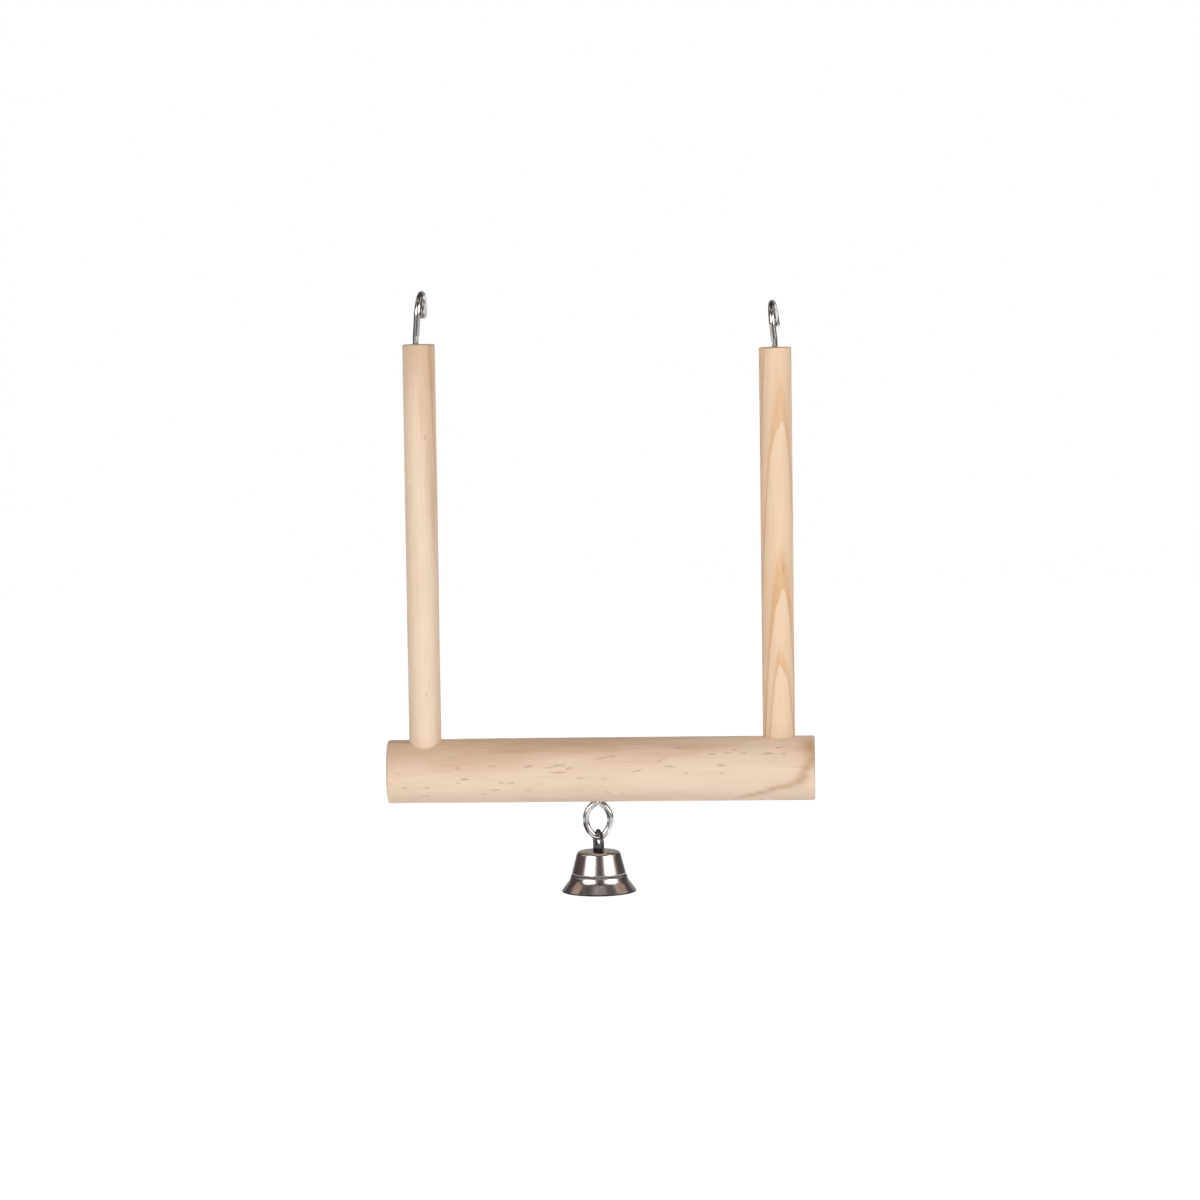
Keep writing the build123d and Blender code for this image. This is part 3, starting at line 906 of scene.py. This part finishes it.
def hanger_piece():
    """The lug's outline is the hull of its round head and its wide base with rounded shoulders; the tongue
    is a plain strip, and the ears are two blunt lumps pressed out under the crown."""
    hole_rise = wire_radius + hanger_seat_gap - hanger_hole
    head_rise = wire_radius + hanger_seat_gap + hanger_head_rim - hanger_head
    shoulder_rise = hanger_base_height - hanger_base_round - hanger_drop
    shoulder = np.array([hanger_base_half - hanger_base_round, shoulder_rise])
    gap = shoulder - np.array([0, head_rise])
    flank = atan2(gap[1], gap[0]) + acos((hanger_head - hanger_base_round) / np.linalg.norm(gap))
    right_side = path(
        line((0, -hanger_drop), (hanger_base_half, -hanger_drop), hanger_step),
        line((hanger_base_half, -hanger_drop), (hanger_base_half, shoulder[1]), hanger_step),
        arc(shoulder, hanger_base_round, 0, flank, hanger_step),
        arc((0, head_rise), hanger_head, flank, pi / 2 - flank, hanger_step),
    )
    outline = np.concatenate([right_side, right_side[::-1] * [-1, 1]]) - [0, hole_rise]
    turn = np.arctan2(outline[:, 1], outline[:, 0]) % (2 * pi)
    order = np.argsort(turn)
    far = np.linalg.norm(outline, axis=1)[order]

    def lug_reach(angle):
        return np.interp(angle, turn[order], far, period=2 * pi)

    def lug_hole(angle):
        """Round, but a little flat at the bottom."""
        return hanger_hole * (1 - hanger_hole_flat_share * np.clip(-np.sin(angle), 0, 1) ** 2)

    lug = holed_plate(
        lug_reach, lug_hole, hole_rise, hanger_thickness, hanger_hole_round, hanger_edge_round
    )
    ear_top = -hanger_drop - bell_wall
    tongue_rise = ear_top - tongue_hole_drop
    above, below = -hanger_drop - tongue_rise, tongue_hole + tongue_rim

    def tongue_reach(angle):
        rise = np.sin(angle)
        to_side = tongue_half / np.maximum(np.abs(np.cos(angle)), 1e-9)
        return np.minimum(to_side, np.where(rise > 0, above, below) / np.maximum(np.abs(rise), 1e-9))

    def round_hole(angle):
        return np.full_like(angle, tongue_hole)

    tongue = holed_plate(
        tongue_reach, round_hole, tongue_rise, hanger_thickness, tongue_hole_round, tongue_edge_round
    )
    ears = [ear_lump(way, ear_top) for way in (-1, 1)]
    return make_piece("bell_hanger_lug", lug, tongue, *ears)


def ear_lump(way, top):
    """A blunt lump: a ball squared off by raising its sines and cosines to a small power."""
    u = np.linspace(-pi / 2, pi / 2, 14)[1:-1, None]
    v = np.arange(24) * 2 * pi / 24

    def blunt(value):
        return np.sign(value) * np.abs(value) ** ear_blunt_power

    half_length = (ear_reach - tongue_half) * ear_length_share
    half = np.array([half_length, hanger_thickness / 2 * ear_thickness_share, ear_height / 2])
    middle = np.array([way * (ear_reach - half[0]), 0, top - half[2]])
    along = middle[0] + half[0] * blunt(np.cos(u)) * blunt(np.cos(v))
    out = half[1] * blunt(np.cos(u)) * blunt(np.sin(v))
    up = middle[2] + half[2] * blunt(np.sin(u)) * np.ones_like(v)
    points = along[..., None] * hanger_along + out[..., None] * hanger_across + up[..., None] * z_dir
    return closed_skin(bell_seat + points)


def rounded(points, rounds, step):
    """A polyline whose inner corners are replaced by arcs of the given radii."""
    points = [np.array(point) for point in points]
    runs, start = [], points[0]
    for before, corner, after, radius in zip(points, points[1:], points[2:], rounds):
        into = (corner - before) / np.linalg.norm(corner - before)
        out = (after - corner) / np.linalg.norm(after - corner)
        turn = atan2(into[0] * out[1] - into[1] * out[0], into @ out)
        reach = radius * tan(abs(turn) / 2)
        bend_start = corner - reach * into
        center = bend_start + np.sign(turn) * radius * np.array([-into[1], into[0]])
        way = bend_start - center
        runs += [line(start, bend_start, step), arc(center, radius, atan2(way[1], way[0]), turn, step / 3)]
        start = corner + reach * out
    return path(*runs, line(start, points[-1], step))


def bell_piece():
    """The outside of the bell (flat crown, rounded shoulder, cone, band and flare), a rolled lip and the
    same outside moved in by the wall, turned about the axis. A row of dots is pressed into the waist, and
    the crown has a slot for the hanger's tongue."""
    flare = np.array(bell_mouth) - bell_band
    lip_start = bell_mouth - bell_wall / 2 * flare / np.linalg.norm(flare)
    corners = (crown_middle, 0), (bell_shoulder, 0), bell_waist, bell_band, lip_start
    rounds = bell_shoulder_round, bell_corner_round, bell_corner_round
    outside = rounded(corners, rounds, bell_step)
    inside = outside + bell_wall * normals_of(outside) * -1
    inside = inside[inside[:, 0] > 0.9 * crown_middle]
    rim = (outside[-1] + inside[-1]) / 2
    way = outside[-1] - rim
    lip = arc(rim, bell_wall / 2, atan2(way[1], way[0]), -pi, bell_step / 6)
    profile = path(outside, lip, inside[::-1])
    columns = 5 * bell_dots
    from_waist = (profile[:, 1] - bell_waist[1]) / bell_dot_half
    number = np.arange(len(profile))
    near = np.where(number < len(outside), np.exp(-(from_waist**4)), 0)
    on_lip = (number >= len(outside)) & (number < len(outside) + len(lip) - 1)
    dots = np.cos(np.arange(columns) * 2 * pi * bell_dots / columns)
    around = bell_dot_mean_share + (1 - bell_dot_mean_share) * dots
    shell_rings = turned(profile, crown, columns)
    outward = shell_rings - (crown + profile[:, None, 1:] * z_dir)
    outward /= np.linalg.norm(outward, axis=-1, keepdims=True)
    shell_rings = shell_rings - bell_dot_depth * (near[:, None] * around)[..., None] * outward
    shell = make_piece("bell_shell_stamped", closed_skin(shell_rings))
    # Painted shade: the waist band, darkest in its dots, and the rolled lip are coloured near black
    painted_shade = near[:, None] * (painted_shade_share + (1 - painted_shade_share) * around) + on_lip[:, None]
    set_attribute(shell, "painted_shade", np.append(painted_shade, [0, 0]))
    slot_half = np.array([tongue_half + slot_gap, hanger_thickness / 2 + slot_gap])
    corner = np.array([[1, 1], [-1, 1], [-1, -1], [1, -1]]) * slot_half
    flat = corner[:, :1] * hanger_along + corner[:, 1:] * hanger_across
    ends = np.stack([flat - 2 * bell_wall * z_dir, flat + bell_wall * z_dir])
    return cut_out(shell, closed_skin(crown + ends))


def link_piece():
    """A wire ring with its two cut ends meeting at the side."""
    low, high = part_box("clapper_link")
    center = np.array((low + high) / 2)
    seam = link_seam / link_radius
    wire = arc((0, 0), link_radius, seam / 2, 2 * pi - seam, small_wire_step)
    ring = carried_round(wire, link_wire, center, hanger_across, z_dir, small_wire_columns)
    return make_piece("clapper_ring", closed_skin(ring))


def clapper_piece():
    """A ball with a neck, turned in one profile, and a wire eye over it."""
    pivot = np.array(joints["clapper_swing"]["pos_m"])
    eye_rise = link_wire + clapper_play + clapper_wire - clapper_eye
    eye_center = pivot + eye_rise * z_dir
    ball_center = pivot - clapper_reach * z_dir
    loop = arc((0, 0), clapper_eye, 0, 2 * pi, small_wire_step)[:-1]
    angle = np.arange(small_wire_columns) * 2 * pi / small_wire_columns
    reach = clapper_eye + clapper_wire * np.cos(angle)
    out = loop / clapper_eye
    ring = out[:, None, :1] * reach[:, None] * hanger_along + out[:, None, 1:] * reach[:, None] * z_dir
    ring = ring + (clapper_wire * np.sin(angle))[:, None] * hanger_across
    meet = np.arcsin(clapper_neck / clapper_ball)
    neck_top = clapper_reach + eye_rise - clapper_eye
    profile = path(
        arc((0, 0), clapper_ball, ball_pole - pi / 2, pi - meet - ball_pole, ball_step),
        line((clapper_neck, clapper_ball * cos(meet)), (clapper_neck, neck_top), neck_step),
    )
    ball = turned(profile, ball_center, ball_columns)
    return make_piece("clapper_ball", closed_skin(ball), closed_skin(eye_center + ring, wrap=True))


place(hanger_piece(), "bell", "bell_hanger", dark_steel)
place(bell_piece(), "bell", "bell_shell", bell_nickel)
place(link_piece(), "clapper_link", "clapper_link", zinc_wire)
place(clapper_piece(), "clapper", "clapper", dark_steel)


# Studio: a white floor and sky, lamps beside, behind and under the object, and cards that the metal mirrors

floor_height = -0.62
floor_half = 6.0
shaded_half = 0.45
dark_floor_edge = 1.7
card_radius = 3.2
lamp_distance = 1.55


def direction(azimuth, elevation):
    """Unit vectors from the object: azimuth 0 points to the front and 90 to the right."""
    a, e = np.radians(azimuth), np.radians(elevation)
    ways = np.broadcast_arrays(np.sin(a) * np.cos(e), -np.cos(a) * np.cos(e), np.sin(e))
    return np.stack(ways, axis=-1)


def seen_white(tree, shown, strength):
    """Give a surface light of its own, but only where the camera, gloss or glass looks at it."""
    looked_at = add_node(tree, "ShaderNodeLightPath", {}, "Is Camera Ray")
    for kind in ("Is Glossy Ray", "Is Transmission Ray"):
        both = {0: looked_at, 1: add_node(tree, "ShaderNodeLightPath", {}, kind)}
        looked_at = add_node(tree, "ShaderNodeMath", both, operation="MAXIMUM")
    glow = add_node(tree, "ShaderNodeMath", {0: looked_at, 1: strength}, operation="MULTIPLY")
    tree.links.new(glow, shown)


def stage_mesh(name, points, material):
    """A grid of points as an open surface of the studio."""
    rows, columns = points.shape[:2]
    index = np.arange(rows * columns).reshape(rows, columns)
    quads = np.stack([index[:-1, :-1], index[:-1, 1:], index[1:, 1:], index[1:, :-1]], axis=-1)
    made = new_object(name, points.reshape(-1, 3), quads.reshape(-1, 4).tolist())
    made.data.materials.append(material)
    return made


def level(sides, ends, height):
    """Points of a level sheet between two distances to the side and two to the back."""
    x, y = np.meshgrid(np.linspace(*sides, 3), np.linspace(*ends, 3))
    return np.stack([x, y, np.full_like(x, height)], axis=-1)


def mirrored_only(name, points, code, radiance):
    """A sheet of this brightness that shows in the metal alone, and neither lights nor shades anything."""
    material, tree, shader = new_material(f"{name}_paper", Base_Color=linear("#4a4646"), Roughness=1.0)
    shader.inputs["Emission Color"].default_value = linear(code)
    seen_white(tree, shader.inputs["Emission Strength"], radiance)
    made = stage_mesh(name, points, material)
    made.visible_camera = False
    made.visible_diffuse = False
    made.visible_shadow = False


def card(name, azimuths, elevations, radius, *paper):
    """Part of a ball round the object."""
    ways = direction(np.linspace(*azimuths, 49), np.linspace(*elevations, 15)[:, None])
    mirrored_only(name, radius * ways, *paper)


def softbox(name, azimuth, elevation, distance, width, height, radiance):
    """An oval lamp that faces the object; its power follows from the brightness of its face."""
    lamp = bpy.data.lights.new(name, "AREA")
    lamp.shape = "ELLIPSE"
    lamp.size, lamp.size_y = width, height
    lamp.energy = radiance * pi * (pi / 4 * width * height)
    made = bpy.data.objects.new(name, lamp)
    way = direction(azimuth, elevation)
    middle = np.array((cad_low + cad_high) / 2)
    facing = Vector(way).to_track_quat("Z", "Y").to_matrix().to_4x4()
    made.matrix_world = Matrix.Translation(middle + distance * way) @ facing
    made.visible_camera = False
    bpy.context.scene.collection.objects.link(made)
    return made


paper_white, tree, shader = new_material("matt_white_paper", Base_Color=linear("#f2f2f2"), Roughness=0.9)
shader.inputs["Emission Color"].default_value = (1, 1, 1, 1)
seen_white(tree, shader.inputs["Emission Strength"], 1.0)
whole_floor = (-floor_half, floor_half)
stage_mesh("studio_floor", level(whole_floor, whole_floor, floor_height), paper_white)

# Cards: azimuths and elevations in degrees, radius, colour and brightness
card("dark_walls", (-180, 180), (-5, 42), card_radius, "#fff0f2", 0.09)
card("dark_ceiling", (-180, 180), (42, 88), card_radius, "#fff6f4", 0.05)
card("grey_top_card", (-42, 52), (62, 80), 0.95 * card_radius, "#fbf0f4", 0.75)
card("back_card", (146, 214), (-2, 38), 0.95 * card_radius, "#fff8f4", 0.4)
card("beige_left_card", (-124, -90), (32, 52), 0.95 * card_radius, "#fff9f0", 1.0)
card("beige_right_card", (90, 124), (32, 52), 0.95 * card_radius, "#fff9f0", 1.0)
paper_top = 0.98 * floor_height
dark_side = level((-dark_floor_edge, -shaded_half), whole_floor, paper_top)
mirrored_only("dark_floor", dark_side, "#fff0f2", 0.09)
shade = level((-shaded_half, shaded_half), (-2 * shaded_half, shaded_half), paper_top)
mirrored_only("shaded_floor", shade, "#fff8f6", 0.35)

# Lamps: azimuth and elevation in degrees, distance, width, height and brightness of the face
softbox("left_softbox", -40, 23, lamp_distance, 1.16, 0.86, 6.25)
softbox("right_softbox", 55, 23, lamp_distance, 1.3, 0.86, 5.5)
back_lamp = softbox("back_softbox", 180, 8, lamp_distance, 0.9, 1.1, 4.4)
back_lamp.visible_glossy = False
softbox("light_table", 0, -75, 0.5, 0.9, 0.9, 0.7)

# In the metal the front softboxes fade out over their rims
for spread, radiance in ((12, 0.25), (8, 0.6), (4, 1.3)):
    depth = (1 - 0.002 * (20 - spread)) * card_radius
    heights = (8 - spread, 38 + spread)
    card(f"left_glow_{spread}", (-60 - spread, -20 + spread), heights, depth, "#fff8f4", radiance)
    card(f"right_glow_{spread}", (33 - spread, 77 + spread), heights, depth, "#fff8f4", radiance)

world = bpy.data.worlds.new("white_studio")
bpy.context.scene.world = world
world.use_nodes = True
sky = world.node_tree.nodes["Background"]
sky.inputs["Color"].default_value = (1, 1, 1, 1)
seen_white(world.node_tree, sky.inputs["Strength"], 1.0)


# Camera

aim = perch.start + perch.length / 2 * x_dir + aim_beside_perch * x_dir + aim_above_perch * z_dir
back = direction(camera_azimuth, camera_elevation)
camera_data = bpy.data.cameras.new("camera")
camera_data.sensor_width = camera_sensor
camera_data.lens = camera_sensor * camera_distance / picture_span
camera = bpy.data.objects.new("camera", camera_data)
facing = Vector(back).to_track_quat("Z", "Y").to_matrix().to_4x4()
roll = Matrix.Rotation(radians(-camera_roll), 4, "Z")
camera.matrix_world = Matrix.Translation(aim + camera_distance * back) @ facing @ roll
bpy.context.scene.collection.objects.link(camera)
bpy.context.scene.camera = camera
bpy.context.scene.view_settings.view_transform = "Standard"
